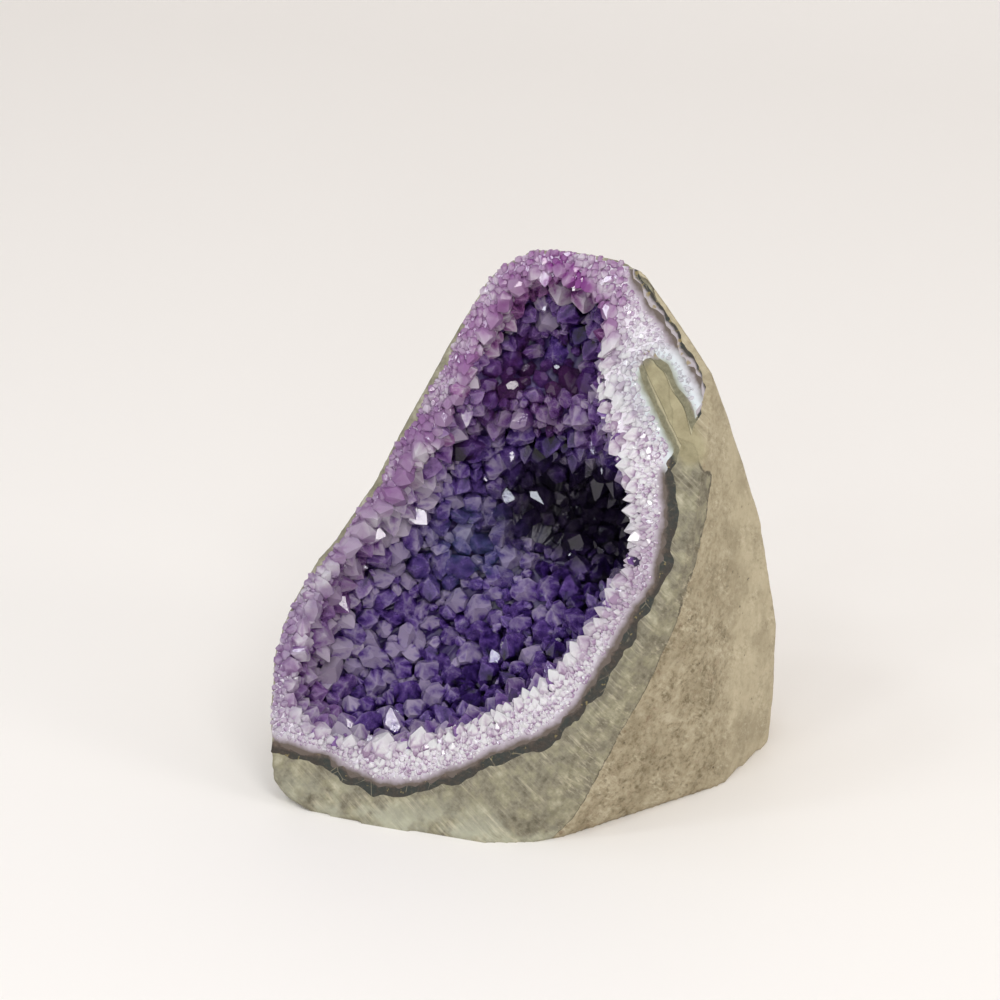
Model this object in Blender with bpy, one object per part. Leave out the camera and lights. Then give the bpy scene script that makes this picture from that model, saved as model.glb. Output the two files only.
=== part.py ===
"""Amethyst cluster: a sawn piece of basalt holding an open geode.

Metres, +Z up, resting on its sawn foot at z = 0, the opening facing -Y.
Three solids: the basalt, the dark rind that lines its hollow, and the crust of
pale quartz and amethyst points that has grown on the rind as one body.
"""

import math

import bmesh
import bpy
import numpy as np
from mathutils import Vector

MM = 0.001

# Driving dimensions, in millimetres and degrees
FACE_TILT = 24.0
FACE_FOOT_Y = -4.5
RIND_THICK = 2.4
CRUST_DEEP = 8.0
NODE_GAP = 0.3
CRYSTAL_SPACING = 4.3
CRYSTAL_HEIGHT = 2.8
GEODE_CENTRE = (-20.0, 70.0)
FRAME_SHIFT = (18.5, -49.5)
SEED = 11

# Points of the sawn face as (across, up the face), seen from the front
FACE_OUTLINE = (
    (-66.1, 6.7), (-67.9, 13.4), (-69.3, 20.2), (-70.5, 30.4), (-70.9, 37.3),
    (-69.9, 44.5), (-67.9, 51.7), (-33.0, 129.0), (-29.9, 136.3), (-26.1, 140.2),
    (-20.7, 143.8), (-11.7, 144.8), (-2.6, 144.4), (3.9, 143.5), (9.0, 141.4),
    (14.6, 135.6), (20.1, 129.9), (26.3, 122.9), (30.0, 119.0),
    (31.2, 103.4), (31.0, 86.0), (29.5, 71.0), (23.0, 53.0), (16.0, 38.0), (9.0, 24.0),
)
# Corners of the stone behind the face, as x, y, z
FOOT = (
    (-64.5, 2.5, 0.0), (-55.5, -3.2, 0.0), (-38.5, -5.0, 0.0), (-9.4, -4.0, 0.0),
    (1.5, 0.6, 0.0), (7.9, 7.5, 0.0), (32.7, 49.7, 0.0), (35.1, 79.0, 0.0),
    (26.0, 96.0, 0.0), (-8.0, 99.0, 0.0), (-50.0, 95.0, 0.0), (-66.0, 78.0, 0.0),
    (-70.0, 40.0, 0.0),
)
SIDE = (
    (13.4, 7.7, 11.9), (20.0, 16.5, 27.7), (24.5, 21.9, 36.0), (28.7, 29.3, 53.2),
    (30.7, 34.4, 67.3), (33.6, 50.0, 13.6), (32.6, 49.0, 42.5), (31.8, 48.0, 59.8),
    (30.9, 46.0, 76.3), (36.4, 78.0, 12.4), (38.0, 74.0, 34.6), (35.7, 66.0, 65.1),
    (33.1, 61.0, 79.5), (30.2, 55.0, 95.1),
)
BACK = (
    (25.0, 99.0, 38.0), (19.0, 97.0, 64.0), (12.0, 87.0, 98.0), (-12.0, 87.0, 108.0),
    (-34.0, 85.0, 98.0), (-50.0, 76.0, 88.0), (-14.0, 104.0, 52.0), (-58.0, 99.0, 45.0),
    (-62.0, 70.0, 66.0), (-75.0, 48.0, 28.0), (-73.0, 80.0, 26.0),
)
# The stone is drawn in a little between its shoulder and its neck, on the left
WAIST = (
    (-67.9, 51.7), (-63.7, 59.2), (-58.3, 66.9), (-50.4, 81.9), (-43.6, 100.1),
    (-37.7, 114.6), (-33.0, 129.0), (-32.0, 131.5), (-60.0, 140.0), (-92.0, 80.0),
)

# Edge of the quartz on the sawn face. It leaves the stone at the left and the top
QUARTZ_EDGE = (
    (-76.0, 17.5), (-63.1, 15.1), (-53.3, 14.2), (-46.2, 11.2), (-38.3, 9.6),
    (-29.5, 11.0), (-22.4, 14.0), (-11.2, 21.0), (-4.2, 24.6), (4.7, 30.0),
    (8.7, 35.9), (14.4, 47.7), (19.3, 59.4), (23.8, 68.0), (24.2, 77.1),
    (23.7, 87.5), (21.7, 94.1), (23.4, 100.2), (27.5, 108.3), (28.4, 113.3),
    (26.7, 118.5), (21.7, 123.0), (18.2, 128.2), (12.2, 134.0), (6.5, 140.5),
    (3.5, 149.0), (-12.0, 152.0), (-26.0, 149.0), (-37.0, 140.0), (-42.0, 122.0),
    (-49.0, 102.0), (-63.0, 76.0), (-75.0, 57.0), (-80.0, 34.0),
)
# Middle of the crystals' ragged edge round the hollow, on the sawn face
HOLLOW_EDGE = (
    (-65.8, 26.6), (-60.5, 20.5), (-52.0, 17.8), (-42.2, 17.9), (-33.1, 19.6),
    (-22.0, 24.8), (-14.0, 28.6), (-6.0, 34.6), (4.8, 44.0), (11.0, 55.0),
    (14.5, 64.7), (17.6, 73.0), (16.6, 82.2), (14.2, 90.0), (10.3, 98.0),
    (5.0, 107.5), (2.4, 115.0), (2.6, 124.0), (2.0, 132.0), (-3.0, 137.5),
    (-12.0, 139.5), (-20.0, 138.0), (-26.0, 131.5), (-29.0, 122.0), (-33.6, 108.0),
    (-38.0, 95.5), (-46.0, 81.0), (-55.0, 67.5), (-61.2, 54.6), (-65.0, 41.6),
)


def face_point(across, up, deep):
    """A point given along the sawn face and behind it, in metres."""
    tilt = math.radians(FACE_TILT)
    return Vector((
        across + FRAME_SHIFT[0],
        FACE_FOOT_Y + up * math.sin(tilt) + deep * math.cos(tilt) + FRAME_SHIFT[1],
        up * math.cos(tilt) - deep * math.sin(tilt),
    )) * MM


def stone_point(x, y, z):
    return Vector((x + FRAME_SHIFT[0], y + FRAME_SHIFT[1], z)) * MM


def edge_table(outline):
    """An outline as its angles and distances from the middle of the geode."""
    arms = np.array(outline) - np.array(GEODE_CENTRE)
    angles = np.arctan2(arms[:, 1], arms[:, 0])
    order = np.argsort(angles)
    return angles[order], np.hypot(arms[:, 0], arms[:, 1])[order]


def edge_distance(table, angle):
    return float(np.interp(angle, table[0], table[1], period=2 * math.pi))


def hump(offset, width):
    return math.exp(-((offset / width) ** 2))


def hollow_depth(across, up):
    """How deep the hollow is: a basin, a cave at the right, a ledge and an alcove."""
    basin = 27.0 - 9.0 / (1.0 + math.exp((104.0 - up) / 5.0))
    cave = 19.0 * hump(across - 3.0, 21.0) * hump(up - 82.0, 13.0)
    ledge = 9.5 * hump(up - 107.0, 8.0)
    alcove = 3.0 * hump(up - 126.0, 9.0)
    return basin + cave - ledge + alcove


def bowl_point(angle, turn, table, grow, deeper):
    """A point of a closed bowl: turn is 0 at its bottom and 90 degrees at the face."""
    rim = edge_distance(table, angle)
    quarter = math.pi / 2
    if turn <= quarter:
        right_side = max(0.0, math.cos(angle - 0.1)) ** 8
        swell = 1.0 + 0.09 * right_side * math.sin(2 * turn)
        fraction = math.sin(turn) ** 0.72 * swell
        share = math.cos(turn) ** 0.8
    else:
        past = (turn - quarter) / quarter
        fraction = (1.0 + 0.1 * past) * min(1.0, (1.0 - past) / 0.3)
        share = 0.0
    across = GEODE_CENTRE[0] + rim * fraction * math.cos(angle)
    up = GEODE_CENTRE[1] + rim * fraction * math.sin(angle)
    deep = share * (hollow_depth(across, up) + deeper + grow)
    across += grow * fraction * math.cos(angle)
    up += grow * fraction * math.sin(angle)
    if turn > quarter:
        deep = -9.0 * min(1.0, (turn - quarter) / quarter / 0.7)
    return across, up, deep


def new_object(name, bm, collection, material=None):
    mesh = bpy.data.meshes.new(name)
    bmesh.ops.recalc_face_normals(bm, faces=bm.faces)
    if bm.calc_volume(signed=True) < 0:
        bmesh.ops.reverse_faces(bm, faces=bm.faces)
    bm.to_mesh(mesh)
    bm.free()
    obj = bpy.data.objects.new(name, mesh)
    if material:
        mesh.materials.append(material)
    collection.objects.link(obj)
    return obj


def cutter(name, bm):
    obj = new_object(name, bm, cutters)
    obj.hide_render = True
    obj.display_type = "WIRE"
    return obj


def cut(obj, other, operation, solver="EXACT"):
    modifier = obj.modifiers.new(operation.title() + " " + other.name, "BOOLEAN")
    modifier.operation = operation
    modifier.object = other
    modifier.solver = solver


def plain_material(name, colour, roughness):
    material = bpy.data.materials.new(name)
    material.use_nodes = True
    shader = material.node_tree.nodes["Principled BSDF"]
    shader.inputs["Base Color"].default_value = (*colour, 1.0)
    shader.inputs["Roughness"].default_value = roughness
    material.diffuse_color = (*colour, 1.0)
    return material


def stone_blank(name, material):
    """The whole piece as it was sawn and ground, before it is hollowed."""
    bm = bmesh.new()
    for across, up in FACE_OUTLINE:
        bm.verts.new(face_point(across, up, 0.0))
    for corner in FOOT + SIDE + BACK:
        bm.verts.new(stone_point(*corner))
    made = bmesh.ops.convex_hull(bm, input=bm.verts)
    inner = [item for item in made["geom_interior"] if isinstance(item, bmesh.types.BMVert)]
    bmesh.ops.delete(bm, geom=inner, context="VERTS")
    bmesh.ops.dissolve_limit(
        bm, angle_limit=math.radians(1.0), verts=bm.verts, edges=bm.edges
    )
    obj = new_object(name, bm, parts, material)
    cut(obj, waist, "DIFFERENCE")
    return obj


def waist_cutter():
    """A prism with the drawn-in left edge, running back through the stone."""
    bm = bmesh.new()
    front = [bm.verts.new(face_point(a, u, -6.0)) for a, u in WAIST]
    face = bm.faces.new(front)
    made = bmesh.ops.extrude_face_region(bm, geom=[face])
    moved = [item for item in made["geom"] if isinstance(item, bmesh.types.BMVert)]
    back = face_point(-26.0, 0.0, 96.0) - face_point(0.0, 0.0, 0.0)
    bmesh.ops.translate(bm, vec=back, verts=moved)
    return cutter("waist", bm)


def bowl(name, table, grow, deeper):
    """A sphere pushed out to a bowl with the given edge on the sawn face."""
    bm = bmesh.new()
    bmesh.ops.create_uvsphere(bm, u_segments=46, v_segments=13, radius=1.0)
    for vert in bm.verts:
        angle = math.atan2(vert.co.y, vert.co.x)
        turn = math.acos(max(-1.0, min(1.0, vert.co.z)))
        vert.co = face_point(*bowl_point(angle, turn, table, grow, deeper))
    bmesh.ops.triangulate(bm, faces=bm.faces, quad_method="FIXED")
    return cutter(name, bm)


def tongue(name, grow):
    """The finger of basalt that reaches up into the quartz at the upper right."""
    bm = bmesh.new()
    bmesh.ops.create_uvsphere(bm, u_segments=14, v_segments=8, radius=1.0)
    root = Vector((27.6, 100.6))
    tip = Vector((13.2, 121.0))
    along = (tip - root).normalized()
    middle = (tip + root) / 2
    long = (tip - root).length / 2 + grow
    for vert in bm.verts:
        step = vert.co.x * long
        side = vert.co.y * (2.1 + grow)
        across = middle.x + along.x * step - along.y * side
        up = middle.y + along.y * step + along.x * side
        vert.co = face_point(across, up, vert.co.z * (10.0 + grow))
    return cutter(name, bm)


def crystal_sites(table):
    """Evenly scattered crystal tips on the hollow: their (angle, turn) and their places."""
    random = np.random.RandomState(SEED)
    sites = []
    places = np.zeros((0, 3))
    for _ in range(26000):
        angle = random.uniform(-math.pi, math.pi)
        turn = math.acos(random.uniform(-1.0, 1.0))
        place = np.array(bowl_point(angle, turn, table, 0.0, 0.0))
        spacing = CRYSTAL_SPACING * random.uniform(0.78, 1.16)
        if place[2] < -4.5:
            spacing = 14.0
        if len(places) and (np.sum((places - place) ** 2, axis=1) < spacing ** 2).any():
            continue
        places = np.vstack([places, place])
        sites.append((angle, turn))
    return sites, places


def crystal_hollow(name, table):
    """The hollow: each scattered tip is the point of a flat-faced crystal."""
    random = np.random.RandomState(SEED + 1)
    sites, places = crystal_sites(table)
    bm = bmesh.new()
    for angle, turn in sites:
        flat = math.sin(turn)
        bm.verts.new((flat * math.cos(angle), flat * math.sin(angle), math.cos(turn)))
    bmesh.ops.convex_hull(bm, input=bm.verts)
    tips = list(bm.verts)
    for vert, place in zip(tips, places):
        vert.co = place
    bmesh.ops.beautify_fill(bm, faces=bm.faces, edges=bm.edges, method="ANGLE")
    bmesh.ops.recalc_face_normals(bm, faces=bm.faces)
    bm.normal_update()
    inwards = [-vert.normal for vert in tips]
    ridges = list(bm.edges)
    bmesh.ops.poke(bm, faces=bm.faces)
    bmesh.ops.rotate_edges(bm, edges=ridges, use_ccw=True)
    for vert, inward in zip(tips, inwards):
        near = [edge.calc_length() for edge in vert.link_edges]
        size = sum(near) / len(near)
        lean = Vector(random.uniform(-0.3, 0.3, 3))
        if vert.co.z > -4.5:
            vert.co += (inward + lean) * min(size * 0.85, CRYSTAL_HEIGHT)
    for vert in bm.verts:
        vert.co = face_point(*vert.co)
    return cutter(name, bm)


for old in list(bpy.data.objects):
    bpy.data.objects.remove(old)

scene = bpy.context.scene
parts = bpy.data.collections.new("amethyst_cluster")
cutters = bpy.data.collections.new("cutters")
scene.collection.children.link(parts)
scene.collection.children.link(cutters)
cutters.hide_render = True

basalt_look = plain_material("basalt", (0.27, 0.245, 0.185), 0.75)
rind_look = plain_material("dark_rind", (0.05, 0.042, 0.03), 0.55)
crust_look = plain_material("amethyst", (0.26, 0.13, 0.42), 0.2)

quartz_edge = edge_table(QUARTZ_EDGE)
hollow_edge = edge_table(HOLLOW_EDGE)

waist = waist_cutter()
rind_room = bowl("rind_room", quartz_edge, RIND_THICK, CRUST_DEEP)
rind_form = bowl("rind_form", quartz_edge, RIND_THICK - NODE_GAP, CRUST_DEEP)
crust_room = bowl("crust_room", quartz_edge, 0.0, CRUST_DEEP)
crust_form = bowl("crust_form", quartz_edge, -NODE_GAP, CRUST_DEEP)
hollow = crystal_hollow("hollow", hollow_edge)

# The tongue stays part of the basalt, and the rind wraps it
cut(rind_room, tongue("tongue_stone", 0.0), "DIFFERENCE")
cut(rind_form, tongue("tongue_gap", NODE_GAP), "DIFFERENCE")
cut(crust_room, tongue("tongue_rind", 1.9), "DIFFERENCE")
cut(crust_form, tongue("tongue_rind_gap", 1.9 + NODE_GAP), "DIFFERENCE")

basalt = stone_blank("basalt_matrix", basalt_look)
cut(basalt, rind_room, "DIFFERENCE")

rind = stone_blank("rind", rind_look)
cut(rind, rind_form, "INTERSECT")
cut(rind, crust_room, "DIFFERENCE")

crust = stone_blank("amethyst_crust", crust_look)
cut(crust, crust_form, "INTERSECT", "MANIFOLD")
cut(crust, hollow, "DIFFERENCE", "MANIFOLD")
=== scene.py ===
"""Amethyst cluster: the looks of the sawn basalt, its dark rind, the pale quartz and the
violet points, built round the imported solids."""

import math

import bmesh
import bpy
import numpy as np
from mathutils import Matrix, Vector, noise


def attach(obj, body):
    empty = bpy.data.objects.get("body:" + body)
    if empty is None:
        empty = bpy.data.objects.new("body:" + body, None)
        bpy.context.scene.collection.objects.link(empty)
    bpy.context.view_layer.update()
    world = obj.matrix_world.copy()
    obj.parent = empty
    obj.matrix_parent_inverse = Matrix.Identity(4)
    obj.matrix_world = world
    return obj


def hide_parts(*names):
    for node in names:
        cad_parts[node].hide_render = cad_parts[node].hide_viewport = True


MM = 0.001

# The solids' own numbers, in millimetres, and the lean of the sawn face
TILT = math.radians(24.0)
FACE_FOOT_Y = -4.5
RIND_THICK = 2.4
CRUST_DEEP = 8.0
GEODE_CENTRE = (-20.0, 70.0)
FRAME_SHIFT = (18.5, -49.5)
TONGUE_ROOT = (27.6, 100.6)
TONGUE_TIP = (13.2, 121.0)
TONGUE_HALF = 2.1

FACE_OUTLINE = (
    (-66.1, 6.7), (-67.9, 13.4), (-69.3, 20.2), (-70.5, 30.4), (-70.9, 37.3),
    (-69.9, 44.5), (-67.9, 51.7), (-33.0, 129.0), (-29.9, 136.3), (-26.1, 140.2),
    (-20.7, 143.8), (-11.7, 144.8), (-2.6, 144.4), (3.9, 143.5), (9.0, 141.4),
    (14.6, 135.6), (20.1, 129.9), (26.3, 122.9), (30.0, 119.0),
    (31.2, 103.4), (31.0, 86.0), (29.5, 71.0), (23.0, 53.0), (16.0, 38.0), (9.0, 24.0),
)
FOOT = (
    (-64.5, 2.5, 0.0), (-55.5, -3.2, 0.0), (-38.5, -5.0, 0.0), (-9.4, -4.0, 0.0),
    (1.5, 0.6, 0.0), (7.9, 7.5, 0.0), (32.7, 49.7, 0.0), (35.1, 79.0, 0.0),
    (26.0, 96.0, 0.0), (-8.0, 99.0, 0.0), (-50.0, 95.0, 0.0), (-66.0, 78.0, 0.0),
    (-70.0, 40.0, 0.0),
)
SIDE = (
    (13.4, 7.7, 11.9), (20.0, 16.5, 27.7), (24.5, 21.9, 36.0), (28.7, 29.3, 53.2),
    (30.7, 34.4, 67.3), (33.6, 50.0, 13.6), (32.6, 49.0, 42.5), (31.8, 48.0, 59.8),
    (30.9, 46.0, 76.3), (36.4, 78.0, 12.4), (38.0, 74.0, 34.6), (35.7, 66.0, 65.1),
    (33.1, 61.0, 79.5), (30.2, 55.0, 95.1),
)
BACK = (
    (25.0, 99.0, 38.0), (19.0, 97.0, 64.0), (12.0, 87.0, 98.0), (-12.0, 87.0, 108.0),
    (-34.0, 85.0, 98.0), (-50.0, 76.0, 88.0), (-14.0, 104.0, 52.0), (-58.0, 99.0, 45.0),
    (-62.0, 70.0, 66.0), (-75.0, 48.0, 28.0), (-73.0, 80.0, 26.0),
)
WAIST = (
    (-67.9, 51.7), (-63.7, 59.2), (-58.3, 66.9), (-50.4, 81.9), (-43.6, 100.1),
    (-37.7, 114.6), (-33.0, 129.0), (-32.0, 131.5), (-60.0, 140.0), (-92.0, 80.0),
)
QUARTZ_EDGE = (
    (-76.0, 17.5), (-63.1, 15.1), (-53.3, 14.2), (-46.2, 11.2), (-38.3, 9.6),
    (-29.5, 11.0), (-22.4, 14.0), (-11.2, 21.0), (-4.2, 24.6), (4.7, 30.0),
    (8.7, 35.9), (14.4, 47.7), (19.3, 59.4), (23.8, 68.0), (24.2, 77.1),
    (23.7, 87.5), (21.7, 94.1), (23.4, 100.2), (27.5, 108.3), (28.4, 113.3),
    (26.7, 118.5), (21.7, 123.0), (18.2, 128.2), (12.2, 134.0), (6.5, 140.5),
    (3.5, 149.0), (-12.0, 152.0), (-26.0, 149.0), (-37.0, 140.0), (-42.0, 122.0),
    (-49.0, 102.0), (-63.0, 76.0), (-75.0, 57.0), (-80.0, 34.0),
)
HOLLOW_EDGE = (
    (-65.8, 26.6), (-60.5, 20.5), (-52.0, 17.8), (-42.2, 17.9), (-33.1, 19.6),
    (-22.0, 24.8), (-14.0, 28.6), (-6.0, 34.6), (4.8, 44.0), (11.0, 55.0),
    (14.5, 64.7), (17.6, 73.0), (16.6, 82.2), (14.2, 90.0), (10.3, 98.0),
    (5.0, 107.5), (2.4, 115.0), (2.6, 124.0), (2.0, 132.0), (-3.0, 137.5),
    (-12.0, 139.5), (-20.0, 138.0), (-26.0, 131.5), (-29.0, 122.0), (-33.6, 108.0),
    (-38.0, 95.5), (-46.0, 81.0), (-55.0, 67.5), (-61.2, 54.6), (-65.0, 41.6),
)
# The stone's own edge on the sawn face, with its waist
STONE_EDGE = FACE_OUTLINE[:6] + WAIST[:7] + FACE_OUTLINE[8:]
# Where the basalt turns from grey-green to tan, away from the geode
HALO_EDGE = (
    (-90.0, 60.0), (-70.0, -20.0), (-20.0, -20.0), (10.2, 6.0), (12.0, 11.5), (13.6, 17.0),
    (17.5, 28.0), (20.6, 34.5), (24.8, 43.5), (26.2, 49.5), (28.6, 57.0), (29.6, 63.0),
    (30.6, 69.5), (31.2, 77.5), (31.6, 86.5), (31.2, 95.0), (28.0, 101.5), (22.0, 104.0),
    (20.0, 112.0), (18.0, 125.0), (10.0, 140.0), (-20.0, 150.0), (-60.0, 140.0),
)

# The crystals, in millimetres: rounds of (tries, least, most radius), and how close they sit
WALL_ROUNDS = ((600, 3.1, 4.0), (6000, 2.2, 3.0), (14000, 1.3, 1.9))
WALL_CROWDING = 0.66
RIM_ROUNDS = ((1500, 1.4, 2.1), (8000, 0.9, 1.25), (14000, 0.55, 0.85), (9000, 0.4, 0.5))
RIM_CROWDING = 0.62
MOST_POINTS = 9000
# Three big teeth stand out of the rim: across, up and radius
BIG_TEETH = ((-39.0, 19.5, 2.9), (-30.0, 22.5, 2.6), (7.0, 49.5, 2.3))
# The points turn from lilac to violet, and from violet to deep, this far behind the face:
# their darker tones deeper in are partly the amethyst's violet and partly painted shade
LILAC_TO = 5.0
VIOLET_TO = 17.0
PINK_FROM_UP = 121.0
SHAPE_COUNT = 16
SEED = 23
# The tip faces of a quartz point lean this far from its base, and start this far up a point
# of radius 1. Its root carries this value, where painted shade darkens it
TIP_PITCH = math.radians(51.8)
TIP_START = 1.05
ROOT_PAINTED_SHADE = 1.8
QUARTZ_IOR = 1.544
# The stone's surface is a grid this fine, in millimetres
VOXEL = 0.95

# The photograph's viewing angle, in degrees, and the lights' aim, in metres
CAMERA_TURN = 22.0
CAMERA_RISE = 20.0
CAMERA_LENS = 137.87
CAMERA_AWAY = 0.9
CAMERA_TARGET = (9.37, -43.58, 84.49)
LIGHTS_TARGET = (0.0, 0.0, 0.06)
# Small lights, which glint on the crystals
GLINTS = (
    (-1.3, -1.1, 1.0), (-0.3, -1.4, 0.9), (-0.6, -0.6, 1.4), (0.1, -0.5, 1.6),
    (-0.2, -1.0, 1.3), (0.5, -0.8, 1.4), (-0.9, -1.4, 0.6), (0.2, -1.5, 0.8),
)


def face_point(across, up, deep):
    """A point given along the sawn face and behind it, in metres."""
    return Vector((
        across + FRAME_SHIFT[0],
        FACE_FOOT_Y + up * math.sin(TILT) + deep * math.cos(TILT) + FRAME_SHIFT[1],
        up * math.cos(TILT) - deep * math.sin(TILT),
    )) * MM


def on_face(place):
    """Where a point lies along the sawn face and behind it, in millimetres."""
    y = place.y / MM - FRAME_SHIFT[1] - FACE_FOOT_Y
    z = place.z / MM
    return (
        place.x / MM - FRAME_SHIFT[0],
        y * math.sin(TILT) + z * math.cos(TILT),
        y * math.cos(TILT) - z * math.sin(TILT),
    )


def stone_point(x, y, z):
    """A corner of the stone, in metres from the middle of its foot."""
    return Vector((x + FRAME_SHIFT[0], y + FRAME_SHIFT[1], z)) * MM


def edge_table(outline):
    """An outline as its angles and distances from the middle of the geode."""
    arms = np.array(outline) - np.array(GEODE_CENTRE)
    angles = np.arctan2(arms[:, 1], arms[:, 0])
    order = np.argsort(angles)
    return angles[order], np.hypot(arms[:, 0], arms[:, 1])[order]


def edge_distance(table, angle):
    """How far the outline lies from the middle of the geode at that angle."""
    return float(np.interp(angle, table[0], table[1], period=2 * math.pi))


def hump(offset, width):
    """A round hump, 1 high and falling off over its width."""
    return math.exp(-((offset / width) ** 2))


def hollow_depth(across, up):
    """How deep the hollow is: a basin of 27 mm that shoals to 18 higher up, a cave at the
    right, a ledge and an alcove."""
    basin = 27.0 - 9.0 / (1.0 + math.exp((104.0 - up) / 5.0))
    cave = 19.0 * hump(across - 3.0, 21.0) * hump(up - 82.0, 13.0)
    ledge = 9.5 * hump(up - 107.0, 8.0)
    alcove = 3.0 * hump(up - 126.0, 9.0)
    return basin + cave - ledge + alcove


def bowl_point(angle, turn, table, grow, deeper):
    """A point of a closed bowl: turn is 0 at its bottom and 90 degrees at the face."""
    rim = edge_distance(table, angle)
    quarter = math.pi / 2
    if turn <= quarter:
        right_side = max(0.0, math.cos(angle - 0.1)) ** 8
        swell = 1.0 + 0.09 * right_side * math.sin(2 * turn)
        fraction = math.sin(turn) ** 0.72 * swell
        share = math.cos(turn) ** 0.8
    else:
        past = (turn - quarter) / quarter
        fraction = (1.0 + 0.1 * past) * min(1.0, (1.0 - past) / 0.3)
        share = 0.0
    across = GEODE_CENTRE[0] + rim * fraction * math.cos(angle)
    up = GEODE_CENTRE[1] + rim * fraction * math.sin(angle)
    deep = share * (hollow_depth(across, up) + deeper + grow)
    across += grow * fraction * math.cos(angle)
    up += grow * fraction * math.sin(angle)
    if turn > quarter:
        deep = -9.0 * min(1.0, (turn - quarter) / quarter / 0.7)
    return across, up, deep


quartz_edge = edge_table(QUARTZ_EDGE)
hollow_edge = edge_table(HOLLOW_EDGE)
stone_edge = edge_table(STONE_EDGE)
halo_edge = edge_table(HALO_EDGE)


def new_piece(name, bm):
    """Makes the bmesh a closed piece of the scene, its faces outward."""
    mesh = bpy.data.meshes.new(name)
    bmesh.ops.recalc_face_normals(bm, faces=bm.faces)
    if bm.calc_volume(signed=True) < 0:
        bmesh.ops.reverse_faces(bm, faces=bm.faces)
    bm.to_mesh(mesh)
    bm.free()
    obj = bpy.data.objects.new(name, mesh)
    bpy.context.scene.collection.objects.link(obj)
    return obj


def settle(obj):
    """Applies the piece's modifiers."""
    graph = bpy.context.evaluated_depsgraph_get()
    made = bpy.data.meshes.new_from_object(obj.evaluated_get(graph))
    obj.modifiers.clear()
    old = obj.data
    obj.data = made
    bpy.data.meshes.remove(old)


def cut(obj, other, operation, solver="MANIFOLD"):
    """Cuts, or keeps, what the other piece covers."""
    modifier = obj.modifiers.new(operation, "BOOLEAN")
    modifier.operation = operation
    modifier.object = other
    modifier.solver = solver
    settle(obj)


def take_away(*objs):
    for obj in objs:
        mesh = obj.data
        bpy.data.objects.remove(obj)
        bpy.data.meshes.remove(mesh)


def copy_of(obj, name):
    twin = bpy.data.objects.new(name, obj.data.copy())
    bpy.context.scene.collection.objects.link(twin)
    return twin


# Materials


def to_linear(code):
    """An sRGB hex colour as linear RGBA."""
    parts = [int(code[i:i + 2], 16) / 255 for i in (1, 3, 5)]
    return (*[c / 12.92 if c <= 0.04045 else ((c + 0.055) / 1.055) ** 2.4 for c in parts], 1.0)


def node(tree, kind, links=(), out=0, stops=(), **settings):
    """Adds a node with its settings, and gives back one of its outputs. Its inputs are values,
    hex colours or the sockets that they come from, and stops are a colour ramp's colours. A
    Mix node has its colours at 6 and 7, and its output at 2."""
    made = tree.nodes.new("ShaderNode" + kind)
    for key, value in settings.items():
        setattr(made, key, value)
    for plug, value in dict(links).items():
        if isinstance(value, bpy.types.NodeSocket):
            tree.links.new(value, made.inputs[plug])
        else:
            made.inputs[plug].default_value = to_linear(value) if isinstance(value, str) else value
    for number, (spot, colour) in enumerate(stops):
        if number > 1:
            made.color_ramp.elements.new(spot)
        made.color_ramp.elements[number].position = spot
        made.color_ramp.elements[number].color = to_linear(colour)
    return made.outputs[out]


def new_material(name):
    material = bpy.data.materials.new(name)
    material.use_nodes = True
    tree = material.node_tree
    return material, tree, tree.nodes["Principled BSDF"]


def blotches(size):
    """The noise scale that gives blotches of about this many millimetres."""
    return 0.5 / size


def face_space(tree):
    """Object space turned to (across, up the face, out of the face), in millimetres."""
    foot = -FRAME_SHIFT[1] - FACE_FOOT_Y
    return node(tree, "Mapping", {
        "Vector": node(tree, "TexCoord", out="Object"),
        "Location": (-FRAME_SHIFT[0], foot * math.sin(TILT), -foot * math.cos(TILT)),
        "Rotation": (TILT - math.pi / 2, 0.0, 0.0),
        "Scale": (1000.0, 1000.0, 1000.0),
    })


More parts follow.
